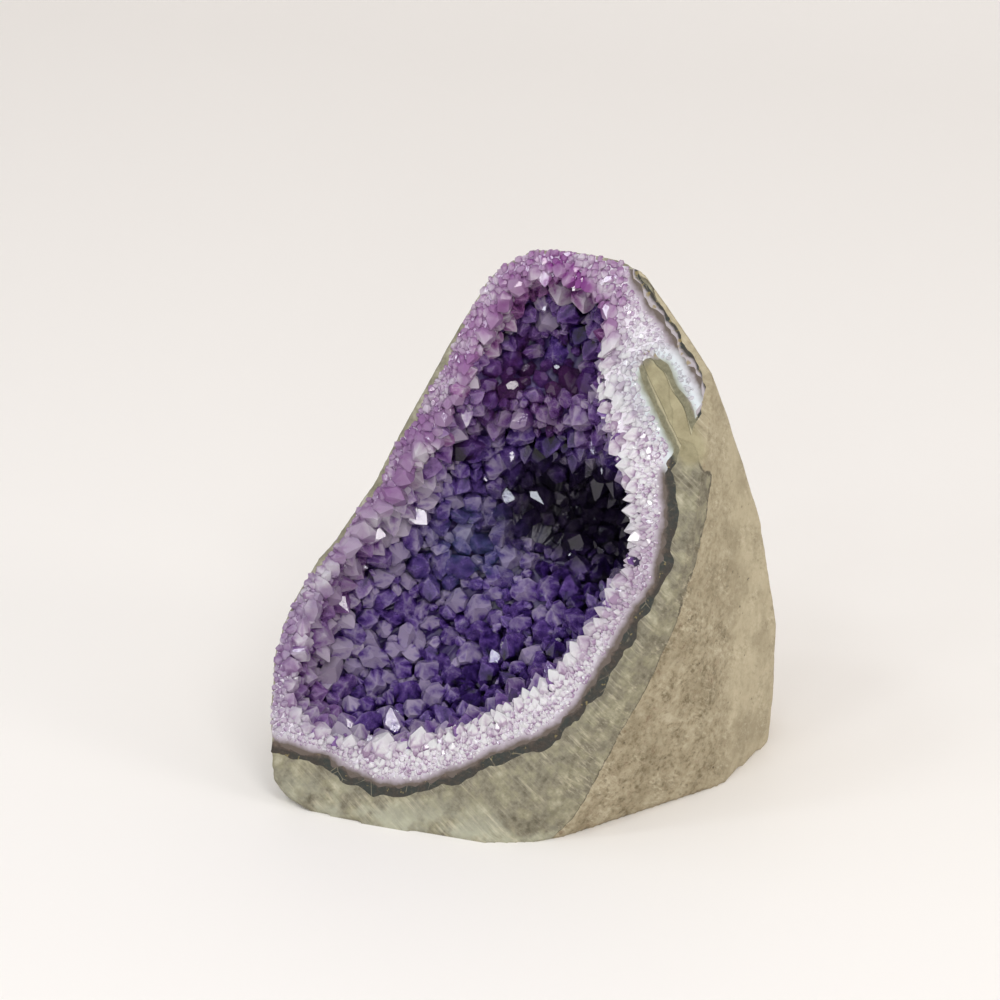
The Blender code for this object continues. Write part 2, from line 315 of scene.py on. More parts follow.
def sawn_basalt():
    """Weathered basalt, sawn and rubbed by hand. It is matt: tan outside and grey-green near
    the geode, with a dark crack between them, rusty specks, and patches of pale saw lines."""
    material, tree, shader = new_material("sawn_basalt")
    place = face_space(tree)
    # Clouds, stains and a grain, which is drawn coarser than the real one so that it shows
    cloud = node(tree, "TexNoise", {
        "Vector": place, "Scale": blotches(6.67), "Detail": 4.0, "Roughness": 0.6,
    })
    stain = node(tree, "TexNoise", {
        "Vector": place, "Scale": blotches(2.38), "Detail": 4.0, "Roughness": 0.62,
    })
    grain = node(tree, "TexNoise", {
        "Vector": place, "Scale": blotches(0.667), "Detail": 3.0, "Roughness": 0.65,
    })
    sparkle = node(tree, "MapRange", {
        "Value": grain, "From Min": 0.4, "From Max": 0.7, "To Max": 0.55,
    })

    tan = node(tree, "ValToRGB", {0: stain}, stops=(
        (0.34, "#75684F"), (0.46, "#91846A"), (0.56, "#9C8F75"), (0.68, "#B2A78E")))
    tan = node(tree, "Mix", {0: sparkle, 6: tan, 7: "#BBB198"}, 2, data_type="RGBA")
    pits = node(tree, "MapRange", {
        "Value": grain, "From Min": 0.44, "From Max": 0.3, "To Max": 0.5,
    })
    tan = node(tree, "Mix", {0: pits, 6: tan, 7: "#5F543F"}, 2, data_type="RGBA")
    rust = node(tree, "TexNoise", {
        "Vector": place, "Scale": blotches(1.19), "Detail": 5.0, "Roughness": 0.75,
    })
    rust = node(tree, "MapRange", {
        "Value": rust, "From Min": 0.56, "From Max": 0.66, "To Max": 0.7,
    })
    here = node(tree, "MapRange", {"Value": cloud, "From Min": 0.42, "From Max": 0.56})
    rust = node(tree, "Math", {0: rust, 1: here}, operation="MULTIPLY")
    tan = node(tree, "Mix", {0: rust, 6: tan, 7: "#725642"}, 2, data_type="RGBA")
    # The flank behind the front edge is rubbed smoother; it is painted paler, as painted light
    # from the right
    back = node(tree, "SeparateXYZ", {0: node(tree, "TexCoord", out="Object")}, "Y")
    back = node(tree, "MapRange", {
        "Value": back, "From Min": -0.004, "From Max": 0.004, "To Max": 0.6,
    })
    tan = node(tree, "Mix", {0: back, 6: tan, 7: "#C0B498"}, 2, data_type="RGBA")
    up = node(tree, "SeparateXYZ", {0: place}, "Y")
    # Painted light: the stone is painted paler higher up
    high = node(tree, "MapRange", {
        "Value": up, "From Min": 55.0, "From Max": 105.0, "To Max": 0.4,
    })
    tan = node(tree, "Mix", {0: high, 6: tan, 7: "#B3A88C"}, 2, data_type="RGBA")
    dusk = node(tree, "MapRange", {
        "Value": cloud, "From Min": 0.5, "From Max": 0.64, "To Max": 0.45,
    })
    tan = node(tree, "Mix", {0: dusk, 6: tan, 7: "#7D7158"}, 2, data_type="RGBA")
    # Dark specks, one to every 2.2 mm at most
    specks = node(tree, "TexVoronoi", {"Vector": place, "Scale": 1.0 / 2.22})
    specks = node(tree, "Math", {0: grain, 1: 0.5, 2: specks}, operation="MULTIPLY_ADD")
    specks = node(tree, "MapRange", {
        "Value": specks, "From Min": 0.4, "From Max": 0.3, "To Max": 0.7,
    })
    dusty = node(tree, "MapRange", {"Value": stain, "From Min": 0.5, "From Max": 0.42})
    specks = node(tree, "Math", {0: specks, 1: dusty}, operation="MULTIPLY")
    tan = node(tree, "Mix", {0: specks, 6: tan, 7: "#453A2F"}, 2, data_type="RGBA")

    green = node(tree, "ValToRGB", {0: stain}, stops=(
        (0.34, "#5C5646"), (0.47, "#767060"), (0.57, "#858068"), (0.7, "#A8A28C")))
    green = node(tree, "Mix", {0: sparkle, 6: green, 7: "#98927C"}, 2, data_type="RGBA")
    bloom = node(tree, "MapRange", {"Value": up, "From Min": 11.0, "From Max": 2.0, "To Max": 0.6})
    patch = node(tree, "MapRange", {"Value": cloud, "From Min": 0.46, "From Max": 0.56})
    bloom = node(tree, "Math", {0: bloom, 1: patch}, operation="MULTIPLY")
    green = node(tree, "Mix", {0: bloom, 6: green, 7: "#B3B39F"}, 2, data_type="RGBA")

    # How far past the halo's edge, with a wander of 4 mm that puts the edge itself at 2
    past = node(tree, "Attribute", out="Fac", attribute_name="past_halo")
    wander = node(tree, "TexNoise", {
        "Vector": place, "Scale": blotches(4.17), "Detail": 4.0, "Roughness": 0.6,
    })
    past = node(tree, "Math", {0: wander, 1: 4.0, 2: past}, operation="MULTIPLY_ADD")
    outside = node(tree, "MapRange", {"Value": past, "From Min": 1.7, "From Max": 2.4})
    colour = node(tree, "Mix", {0: outside, 6: green, 7: tan}, 2, data_type="RGBA")
    off = node(tree, "Math", {0: past, 1: 2.0}, operation="SUBTRACT")
    crack = node(tree, "Math", {0: off}, operation="ABSOLUTE")
    crack = node(tree, "MapRange", {
        "Value": crack, "From Min": 0.3, "From Max": 0.1, "To Max": 0.75,
    })
    broken = node(tree, "MapRange", {
        "Value": stain, "From Min": 0.4, "From Max": 0.5, "To Min": 0.35,
    })
    crack = node(tree, "Math", {0: crack, 1: broken}, operation="MULTIPLY")
    colour = node(tree, "Mix", {0: crack, 6: colour, 7: "#3A342A"}, 2, data_type="RGBA")
    seam = node(tree, "Math", {0: off, 1: 7.0}, operation="ADD")
    seam = node(tree, "Math", {0: seam}, operation="ABSOLUTE")
    seam = node(tree, "MapRange", {"Value": seam, "From Min": 1.0, "From Max": 0.2, "To Max": 0.3})
    colour = node(tree, "Mix", {0: seam, 6: colour, 7: "#4E4838"}, 2, data_type="RGBA")

    # Saw lines run down to the right, 0.9 mm apart, coarser than the real ones so that they
    # show, in patches where the rubbing left them
    turned = node(tree, "Mapping", {"Vector": place, "Rotation": (0.0, 0.0, math.radians(36.0))})
    drawn = node(tree, "Mapping", {"Vector": turned, "Scale": (0.07, 1.0, 0.4)})
    saw = node(tree, "TexNoise", {
        "Vector": drawn, "Scale": 1.0 / 0.909, "Detail": 3.0, "Roughness": 0.7,
    })
    left = node(tree, "MapRange", {
        "Value": wander, "From Min": 0.48, "From Max": 0.6, "To Min": 0.2,
    })
    pale = node(tree, "MapRange", {
        "Value": saw, "From Min": 0.5, "From Max": 0.68, "To Max": 0.55,
    })
    pale = node(tree, "Math", {0: pale, 1: left}, operation="MULTIPLY")
    colour = node(tree, "Mix", {0: pale, 6: colour, 7: "#CBC1A8"}, 2, data_type="RGBA")
    dark = node(tree, "MapRange", {
        "Value": saw, "From Min": 0.46, "From Max": 0.32, "To Max": 0.35,
    })
    dark = node(tree, "Math", {0: dark, 1: left}, operation="MULTIPLY")
    colour = node(tree, "Mix", {0: dark, 6: colour, 7: "#5E553F"}, 2, data_type="RGBA")

    # The tongue is a warmer khaki, fading into the basalt at its root
    skirt = node(tree, "Attribute", out="Fac", attribute_name="from_tongue")
    khaki = node(tree, "ValToRGB", {0: stain}, stops=((0.35, "#887F60"), (0.65, "#A49B7B")))
    skirt = node(tree, "MapRange", {
        "Value": skirt, "From Min": 4.6, "From Max": 2.8, "To Max": 0.85,
    })
    colour = node(tree, "Mix", {0: skirt, 6: colour, 7: khaki}, 2, data_type="RGBA")
    tree.links.new(colour, shader.inputs["Base Color"])
    shader.inputs["Roughness"].default_value = 0.78
    shader.inputs["Specular IOR Level"].default_value = 0.35
    height = node(tree, "Math", {0: saw, 1: 0.5, 2: grain}, operation="MULTIPLY_ADD")
    height = node(tree, "Math", {0: crack, 1: -0.7, 2: height}, operation="MULTIPLY_ADD")
    bump = node(tree, "Bump", {"Height": height, "Strength": 0.7, "Distance": 0.0003})
    tree.links.new(bump, shader.inputs["Normal"])
    return material


def dark_rind():
    """Chalcedony stained by iron and celadonite. It is dull, a soft brown on the quartz side
    and brown-black to green-black outside, with golden bits and a few thin cream cracks. It
    turns to a soft olive round the tongue."""
    material, tree, shader = new_material("dark_rind")
    place = face_space(tree)
    blotch = node(tree, "TexNoise", {"Vector": place, "Scale": blotches(2.94), "Detail": 3.0})
    grain = node(tree, "TexNoise", {
        "Vector": place, "Scale": blotches(0.556), "Detail": 3.0, "Roughness": 0.65,
    })
    colour = node(tree, "ValToRGB", {0: blotch}, stops=((0.4, "#2E251C"), (0.6, "#222721")))
    flecks = node(tree, "MapRange", {
        "Value": grain, "From Min": 0.5, "From Max": 0.7, "To Max": 0.6,
    })
    colour = node(tree, "Mix", {0: flecks, 6: colour, 7: "#4A3F30"}, 2, data_type="RGBA")
    # Brown on the quartz side of the sawn face, with an edge that strays by 2 mm
    past = node(tree, "Attribute", out="Fac", attribute_name="past_quartz")
    out = node(tree, "SeparateXYZ", {0: place}, "Z")
    behind = node(tree, "MapRange", {
        "Value": out, "From Min": -2.0, "From Max": -6.0, "To Max": 6.0,
    })
    past = node(tree, "Math", {0: past, 1: behind}, operation="ADD")
    past = node(tree, "Math", {0: blotch, 1: 4.0, 2: past}, operation="MULTIPLY_ADD")
    brown = node(tree, "MapRange", {
        "Value": past, "From Min": 2.6, "From Max": 1.4, "To Max": 0.9,
    })
    umber = node(tree, "ValToRGB", {0: grain}, stops=((0.35, "#4A3B32"), (0.65, "#6C5B4F")))
    colour = node(tree, "Mix", {0: brown, 6: colour, 7: umber}, 2, data_type="RGBA")
    # At the upper right the rind is a thin line with olive chips, and quartz shows through it
    up = node(tree, "SeparateXYZ", {0: place}, "Y")
    high = node(tree, "MapRange", {"Value": up, "From Min": 103.0, "From Max": 107.0})
    front = node(tree, "MapRange", {"Value": out, "From Min": -14.0, "From Max": -8.0})
    high = node(tree, "Math", {0: high, 1: front}, operation="MULTIPLY")
    milky = node(tree, "MapRange", {"Value": past, "From Min": 3.0, "From Max": 2.4})
    milky = node(tree, "Math", {0: milky, 1: high}, operation="MULTIPLY")
    colour = node(tree, "Mix", {0: milky, 6: colour, 7: "#A9A0A4"}, 2, data_type="RGBA")
    gold = node(tree, "TexNoise", {
        "Vector": place, "Scale": blotches(1.0), "Detail": 3.0, "Roughness": 0.6,
    })
    more = node(tree, "MapRange", {"Value": high, "To Max": 0.09})
    chips = node(tree, "Math", {0: more, 1: gold}, operation="ADD")
    chips = node(tree, "MapRange", {
        "Value": chips, "From Min": 0.64, "From Max": 0.7, "To Max": 0.75,
    })
    colour = node(tree, "Mix", {0: chips, 6: colour, 7: "#8A7A4A"}, 2, data_type="RGBA")
    cracks = node(tree, "TexVoronoi", {
        "Vector": place, "Scale": 1.0 / 5.0,
    }, feature="DISTANCE_TO_EDGE")
    cracks = node(tree, "MapRange", {
        "Value": cracks, "From Min": 0.02, "From Max": 0.01, "To Max": 0.3,
    })
    some = node(tree, "MapRange", {"Value": blotch, "From Min": 0.52, "From Max": 0.6})
    cracks = node(tree, "Math", {0: cracks, 1: some}, operation="MULTIPLY")
    colour = node(tree, "Mix", {0: cracks, 6: colour, 7: "#B9AB8D"}, 2, data_type="RGBA")
    skirt = node(tree, "Attribute", out="Fac", attribute_name="from_tongue")
    skirt = node(tree, "Math", {0: blotch, 1: 1.6, 2: skirt}, operation="MULTIPLY_ADD")
    olive = node(tree, "ValToRGB", {0: grain}, stops=((0.35, "#67634B"), (0.65, "#7F7A60")))
    line = node(tree, "MapRange", {
        "Value": skirt, "From Min": 3.3, "From Max": 2.95, "To Max": 0.7,
    })
    olive = node(tree, "Mix", {0: line, 6: olive, 7: "#B4AA8A"}, 2, data_type="RGBA")
    skirt = node(tree, "MapRange", {"Value": skirt, "From Min": 6.0, "From Max": 5.0})
    colour = node(tree, "Mix", {0: skirt, 6: colour, 7: olive}, 2, data_type="RGBA")
    tree.links.new(colour, shader.inputs["Base Color"])
    shader.inputs["Roughness"].default_value = 0.55
    bump = node(tree, "Bump", {"Height": grain, "Strength": 0.8, "Distance": 0.0005})
    tree.links.new(bump, shader.inputs["Normal"])
    return material


def cave_shade(tree, place):
    """Painted shade of the cave at the right of the hollow: near 1 in its depth, and 0 well away
    from it.
    """
    offset = node(tree, "VectorMath", {0: place, 1: (-6.0, 84.0, -30.0)}, operation="SUBTRACT")
    offset = node(tree, "VectorMath", {0: offset, 1: (0.031, 0.05, 0.038)}, operation="MULTIPLY")
    far = node(tree, "VectorMath", {0: offset}, "Value", operation="LENGTH")
    ragged = node(tree, "TexNoise", {"Vector": place, "Scale": blotches(4.17), "Detail": 3.0})
    far = node(tree, "Math", {0: ragged, 1: 0.9, 2: far}, operation="MULTIPLY_ADD")
    return node(tree, "MapRange", {
        "Value": far, "From Min": 1.5, "From Max": 0.85, "To Max": 0.93,
    }, interpolation_type="SMOOTHSTEP")


def milky_quartz():
    """Massive milky quartz, the first layer on the rind. It is cloudy and pale at the sawn
    edge, brown next to the rind, and violet under the points, where painted shade takes it to
    near black deeper in. Its outer flank keeps a grey-green skin."""
    material, tree, shader = new_material("milky_quartz")
    place = face_space(tree)
    cloud = node(tree, "TexNoise", {
        "Vector": place, "Scale": blotches(2.5), "Detail": 3.0, "Roughness": 0.6,
    })
    grain = node(tree, "TexNoise", {
        "Vector": place, "Scale": blotches(0.77), "Detail": 3.0, "Roughness": 0.65,
    })
    past = node(tree, "Attribute", out="Fac", attribute_name="past_quartz")
    past = node(tree, "Math", {0: cloud, 1: 3.0, 2: past}, operation="MULTIPLY_ADD")
    # Millimetres from the rind, plus 1.5, over 8: brown, dull lilac, then white
    edge = node(tree, "MapRange", {"Value": past, "From Min": -5.5, "From Max": 2.5})
    rim = node(tree, "ValToRGB", {0: edge}, stops=(
        (0.3, "#DAD2DB"), (0.5, "#C4BBC6"), (0.66, "#9B8F97"), (0.8, "#57493F")))
    frost = node(tree, "MapRange", {
        "Value": grain, "From Min": 0.45, "From Max": 0.65, "To Max": 0.5,
    })
    frosted = node(tree, "Mix", {0: frost, 6: rim, 7: "#F0EAF0"}, 2, data_type="RGBA")
    pale = node(tree, "MapRange", {"Value": edge, "From Min": 0.65, "From Max": 0.45})
    rim = node(tree, "Mix", {0: pale, 6: rim, 7: frosted}, 2, data_type="RGBA")
    # Pinkish lilac at the left and the top
    across = node(tree, "SeparateXYZ", {0: place}, "X")
    left = node(tree, "MapRange", {"Value": across, "From Min": -34.0, "From Max": -50.0})
    height = node(tree, "SeparateXYZ", {0: place}, "Y")
    above = node(tree, "MapRange", {"Value": height, "From Min": 34.0, "From Max": 50.0})
    left = node(tree, "Math", {0: left, 1: above}, operation="MULTIPLY")
    top = node(tree, "MapRange", {"Value": height, "From Min": 80.0, "From Max": 100.0})
    top_left = node(tree, "MapRange", {"Value": across, "From Min": 0.0, "From Max": -14.0})
    top_left = node(tree, "Math", {0: top, 1: top_left}, operation="MULTIPLY")
    pink = node(tree, "Math", {0: left, 1: top_left}, operation="MAXIMUM")
    pink = node(tree, "Math", {0: pink, 1: 0.65}, operation="MULTIPLY")
    rim = node(tree, "Mix", {0: pink, 6: rim, 7: "#AD88B6"}, 2, data_type="RGBA")
    skirt = node(tree, "Attribute", out="Fac", attribute_name="from_tongue")
    skirt = node(tree, "Math", {0: cloud, 1: 2.0, 2: skirt}, operation="MULTIPLY_ADD")
    skirt = node(tree, "MapRange", {"Value": skirt, "From Min": 4.0, "From Max": 10.0})
    near = node(tree, "ValToRGB", {0: skirt}, stops=(
        (0.1, "#77745C"), (0.24, "#A3A79E"), (0.42, "#C9CFD2"), (1.0, "#DDE0E4")))
    close = node(tree, "MapRange", {"Value": skirt, "From Min": 0.95, "From Max": 0.5})
    rim = node(tree, "Mix", {0: close, 6: rim, 7: near}, 2, data_type="RGBA")
    out = node(tree, "SeparateXYZ", {0: place}, "Z")
    violet = node(tree, "ValToRGB", {0: cloud}, stops=((0.35, "#4A2F72"), (0.65, "#7254A2")))
    deep = node(tree, "ValToRGB", {0: cloud}, stops=((0.35, "#1E1236"), (0.65, "#3A2560")))
    inner = node(tree, "MapRange", {"Value": out, "From Min": -0.8, "From Max": -3.5})
    colour = node(tree, "Mix", {0: inner, 6: rim, 7: violet}, 2, data_type="RGBA")
    # Painted shade: deeper behind the face the bed goes near black, past its own violet
    inner = node(tree, "MapRange", {"Value": out, "From Min": -3.0, "From Max": -16.0})
    colour = node(tree, "Mix", {0: inner, 6: colour, 7: deep}, 2, data_type="RGBA")
    # Painted shade: the bed turns near black in the depth of the cave
    cave = cave_shade(tree, place)
    colour = node(tree, "Mix", {0: cave, 6: colour, 7: "#0E0B13"}, 2, data_type="RGBA")
    flank = node(tree, "Attribute", out="Fac", attribute_name="outward")
    flank = node(tree, "Math", {0: grain, 1: 0.3, 2: flank}, operation="MULTIPLY_ADD")
    flank = node(tree, "MapRange", {"Value": flank, "From Min": 0.32, "From Max": 0.42})
    skin = node(tree, "Math", {0: grain, 1: 0.6, 2: cloud}, operation="MULTIPLY_ADD")
    skin = node(tree, "ValToRGB", {0: skin}, stops=(
        (0.6, "#6E6A57"), (0.76, "#837E6A"), (0.9, "#98937F"), (1.0, "#ABA798")))
    colour = node(tree, "Mix", {0: flank, 6: colour, 7: skin}, 2, data_type="RGBA")
    tree.links.new(colour, shader.inputs["Base Color"])
    dull = node(tree, "MapRange", {"Value": flank, "To Min": 0.35, "To Max": 0.8})
    tree.links.new(dull, shader.inputs["Roughness"])
    shader.inputs["IOR"].default_value = QUARTZ_IOR
    bump = node(tree, "Bump", {"Height": grain, "Strength": 0.5, "Distance": 0.0005})
    tree.links.new(bump, shader.inputs["Normal"])
    return material


def grown_quartz(name, tones, see_through, stain, density, blushes_and_painted_reflections=(), cave=False):
    """Quartz points, glassy on their faces. Each has its own tone, with fine veils, painted
    highlights on the edges of its faces and painted shade at its root, and its violet is taken up
    inside the crystal. The tones go from dark to pale. Each blush or painted reflection is a
    place, its reach in millimetres, its colour and how strong it is."""
    material, tree, shader = new_material(name)
    place = face_space(tree)
    tint_and_painted_light = node(tree, "Attribute", out="Fac", attribute_name="tint_and_painted_light")
    edge_highlight_root_shade = node(tree, "Attribute", out="Fac", attribute_name="edge_highlight_root_shade")
    veil = node(tree, "TexNoise", {
        "Vector": place, "Scale": blotches(1.39), "Detail": 4.0, "Roughness": 0.65,
    })
    veil = node(tree, "MapRange", {
        "Value": veil, "From Min": 0.32, "From Max": 0.68, "To Max": 0.4,
    })
    shade = node(tree, "Math", {0: tint_and_painted_light, 1: 0.6, 2: veil}, operation="MULTIPLY_ADD")
    # Painted highlight: each face is paler towards its edges
    edge = node(tree, "MapRange", {
        "Value": edge_highlight_root_shade, "From Min": 0.8, "From Max": 0.0, "To Max": 0.18,
    })
    shade = node(tree, "Math", {0: shade, 1: edge}, operation="ADD")
    # Painted shade: each point is darker towards its root, in the gaps between points
    root = node(tree, "MapRange", {
        "Value": edge_highlight_root_shade, "From Min": 0.9, "From Max": ROOT_PAINTED_SHADE, "To Max": -0.45,
    })
    shade = node(tree, "Math", {0: shade, 1: root}, operation="ADD")
    colour = node(tree, "ValToRGB", {0: shade}, stops=tuple(zip((0.05, 0.33, 0.62, 0.94), tones)))
    clump = node(tree, "TexNoise", {"Vector": place, "Scale": blotches(4.17), "Detail": 2.0})
    for where, reach, hue, most in blushes_and_painted_reflections:
        far = node(tree, "VectorMath", {0: place, 1: where}, "Value", operation="DISTANCE")
        near = node(tree, "MapRange", {
            "Value": far, "From Min": reach, "From Max": reach * 0.3, "To Max": most,
        })
        some = node(tree, "MapRange", {
            "Value": clump, "From Min": 0.36, "From Max": 0.52, "To Min": 0.35,
        })
        near = node(tree, "Math", {0: near, 1: some}, operation="MULTIPLY")
        colour = node(tree, "Mix", {0: near, 6: colour, 7: hue}, 2, data_type="RGBA")
    if cave:
        # Painted shade: the points turn near black in the depth of the cave
        shadow = cave_shade(tree, place)
        colour = node(tree, "Mix", {0: shadow, 6: colour, 7: "#231D2C"}, 2, data_type="RGBA")
    tree.links.new(colour, shader.inputs["Base Color"])
    shader.inputs["Roughness"].default_value = 0.06
    shader.inputs["IOR"].default_value = QUARTZ_IOR
    shader.inputs["Transmission Weight"].default_value = see_through
    if density:
        absorb = node(tree, "VolumeAbsorption", {"Color": stain, "Density": density})
        tree.links.new(absorb, tree.nodes["Material Output"].inputs["Volume"])
    # Growth lines across the faces, drawn 0.5 mm apart so that they show
    lines = node(tree, "TexNoise", {"Vector": place, "Scale": blotches(0.5), "Detail": 2.0})
    bump = node(tree, "Bump", {"Height": lines, "Strength": 0.1, "Distance": 0.0002})
    tree.links.new(bump, shader.inputs["Normal"])
    return material


# Shapes


def stone():
    """The whole stone before it is hollowed, its edges rubbed and its faces a little uneven."""
    bm = bmesh.new()
    for across, up in FACE_OUTLINE:
        bm.verts.new(face_point(across, up, 0.0))
    for corner in FOOT + SIDE + BACK:
        bm.verts.new(stone_point(*corner))
    made = bmesh.ops.convex_hull(bm, input=bm.verts)
    inner = [item for item in made["geom_interior"] if isinstance(item, bmesh.types.BMVert)]
    bmesh.ops.delete(bm, geom=inner, context="VERTS")
    bmesh.ops.dissolve_limit(bm, angle_limit=math.radians(1.0), verts=bm.verts, edges=bm.edges)
    whole = new_piece("whole_stone", bm)
    bm = bmesh.new()
    front = [bm.verts.new(face_point(a, u, -6.0)) for a, u in WAIST]
    face = bm.faces.new(front)
    made = bmesh.ops.extrude_face_region(bm, geom=[face])
    moved = [item for item in made["geom"] if isinstance(item, bmesh.types.BMVert)]
    back = face_point(-26.0, 0.0, 96.0) - face_point(0.0, 0.0, 0.0)
    bmesh.ops.translate(bm, vec=back, verts=moved)
    waist = new_piece("waist", bm)
    cut(whole, waist, "DIFFERENCE", "EXACT")
    take_away(waist)
    remesh = whole.modifiers.new("even", "REMESH")
    remesh.mode = "VOXEL"
    remesh.voxel_size = VOXEL * MM
    settle(whole)
    bm = bmesh.new()
    bm.from_mesh(whole.data)
    bmesh.ops.triangulate(bm, faces=bm.faces)
    bm.normal_update()
    for vert in bm.verts:
        where = vert.co / MM
        rise = 0.16 * noise.noise(where * 0.13) + 0.08 * noise.noise(where * 0.5)
        rise += 0.05 * noise.noise(where * 1.3)
        if vert.co.z < 0.4 * MM:
            rise = min(rise, 0.0) * 0.3
        vert.co += vert.normal * rise * MM
        vert.co.z = max(vert.co.z, 0.0)
    bm.to_mesh(whole.data)
    bm.free()
    return whole


def bowl(name, table, grow, deeper, wave, length):
    """A sphere pushed out to a bowl, its edge wandering by wave millimetres over each length."""
    bm = bmesh.new()
    bmesh.ops.create_uvsphere(bm, u_segments=600, v_segments=32, radius=1.0)
    for vert in bm.verts:
        angle = math.atan2(vert.co.y, vert.co.x)
        turn = math.acos(max(-1.0, min(1.0, vert.co.z)))
        place = Vector(bowl_point(angle, turn, table, 0.0, 0.0))
        flat = Vector((place.x, place.y, place.z * 0.3))
        stray = noise.noise(flat / length) * wave + noise.noise(flat / 1.7) * wave * 0.35
        if grow > 1.5:
            # The rind is a thin line at the upper right
            stray -= 1.6 / (1.0 + math.exp((104.0 - place.y) / 1.2)) * max(0.0, math.cos(angle))
        vert.co = face_point(*bowl_point(angle, turn, table, grow + stray, deeper))
    bmesh.ops.triangulate(bm, faces=bm.faces, quad_method="FIXED")
    return new_piece(name, bm)


def tongue(grow):
    """The finger of basalt that reaches up into the quartz at the upper right."""
    bm = bmesh.new()
    bmesh.ops.create_uvsphere(bm, u_segments=40, v_segments=24, radius=1.0)
    root = Vector(TONGUE_ROOT)
    tip = Vector(TONGUE_TIP)
    along = (tip - root).normalized()
    middle = (tip + root) / 2
    long = (tip - root).length / 2 + grow
    for vert in bm.verts:
        wave = 0.3 * noise.noise(vert.co * 2.2)
        stray = 1.0 + wave
        step = vert.co.x * long * (1.0 + 0.3 * wave)
        full = max(1e-4, 1.0 - vert.co.x ** 2) ** -0.22
        side = vert.co.y * (TONGUE_HALF + grow) * stray * full + 0.7 * (vert.co.x ** 2 - 0.5)
        across = middle.x + along.x * step - along.y * side
        up = middle.y + along.y * step + along.x * side
        vert.co = face_point(across, up, vert.co.z * (10.0 + grow))
    return new_piece("finger", bm)


def from_tongue(across, up):
    """Distance on the face from the middle line of the tongue, in millimetres."""
    root = Vector(TONGUE_ROOT)
    line = Vector(TONGUE_TIP) - root
    spot = Vector((across, up)) - root
    step = max(0.0, min(0.8, spot.dot(line) / line.length_squared))
    return (spot - line * step).length


def past_edge(table, across, up):
    """How far past an outline a point lies, in millimetres, along the line from the middle."""
    arm = Vector((across - GEODE_CENTRE[0], up - GEODE_CENTRE[1]))
    return arm.length - edge_distance(table, math.atan2(arm.y, arm.x))


def outward(vert):
    """How far the quartz bed's surface turns away from the geode there: the stone's own skin."""
    across, up, deep = on_face(vert.co)
    if deep < 0.5:
        return float(past_edge(stone_edge, across, up) > -0.6)
    arm = Vector((across - GEODE_CENTRE[0], up - GEODE_CENTRE[1]))
    if arm.length < 30.0:
        return 0.0
    facing = vert.normal
    along = Vector((facing.x, facing.y * math.sin(TILT) + facing.z * math.cos(TILT)))
    out = facing.z * math.sin(TILT) - facing.y * math.cos(TILT)
    return arm.normalized().dot(along) - 1.2 * max(0.0, out)


def keep_values(mesh, name, values, domain="POINT"):
    """Stores a value for each point, or each face, for the materials to read."""
    layer = mesh.attributes.new(name, "FLOAT", domain)
    layer.data.foreach_set("value", np.array(values, np.float32))


def crystal_shapes(chance, count):
    """Differently grown quartz points, one millimetre in radius, their shoulders at z = 0. Each
    comes with a value at each vertex for its painted light: 1 in the middle of a tip face, 0 on
    its edges, where a highlight is painted, and more at its root, where shade is painted."""
    shapes = []
    for number in range(count):
        bm = bmesh.new()
        bmesh.ops.create_cone(
            bm, cap_ends=True, segments=6, radius1=1.0, radius2=1.0, depth=2.6
        )
        bmesh.ops.translate(bm, vec=(0.0, 0.0, 0.7), verts=bm.verts)
        foot = min(bm.faces, key=lambda f: f.calc_center_median().z)
        bmesh.ops.inset_region(bm, faces=[foot], thickness=0.5, depth=0.9, use_even_offset=True)
        for side in range(6):
            around = math.radians(60 * side + 30)
            slack = chance.uniform(0.0, 0.18) if side % 2 else chance.uniform(0.05, 0.55)
            flat = Vector((math.cos(around), math.sin(around), 0.0)) * math.sin(TIP_PITCH)
            normal = flat + Vector((0.0, 0.0, math.cos(TIP_PITCH)))
            geom = bm.verts[:] + bm.edges[:] + bm.faces[:]
            made = bmesh.ops.bisect_plane(
                bm, geom=geom, plane_co=(0.0, 0.0, TIP_START + slack), plane_no=normal,
                clear_outer=True,
            )
            rim = [item for item in made["geom_cut"] if isinstance(item, bmesh.types.BMEdge)]
            if rim:
                bmesh.ops.holes_fill(bm, edges=rim, sides=0)
        wide = chance.uniform(0.78, 1.25)
        bmesh.ops.scale(bm, vec=(wide, 1.0 / wide, 1.0), verts=bm.verts)
        bmesh.ops.remove_doubles(bm, verts=bm.verts, dist=0.04)
        bmesh.ops.recalc_face_normals(bm, faces=bm.faces)
        bm.normal_update()
        tips = [f for f in bm.faces if f.normal.z > 0.3 and f.calc_area() > 0.05]
        centres = set(bmesh.ops.poke(bm, faces=tips, center_mode="MEAN_WEIGHTED")["verts"])
        bmesh.ops.triangulate(bm, faces=bm.faces)
        edge_highlight_root_shades = [ROOT_PAINTED_SHADE if vert.co.z < 0.0 else float(vert in centres) for vert in bm.verts]
        mesh = bpy.data.meshes.new(f"grown_point_{number}")
        bm.to_mesh(mesh)
        bm.free()
        shapes.append((mesh, edge_highlight_root_shades))
    return shapes


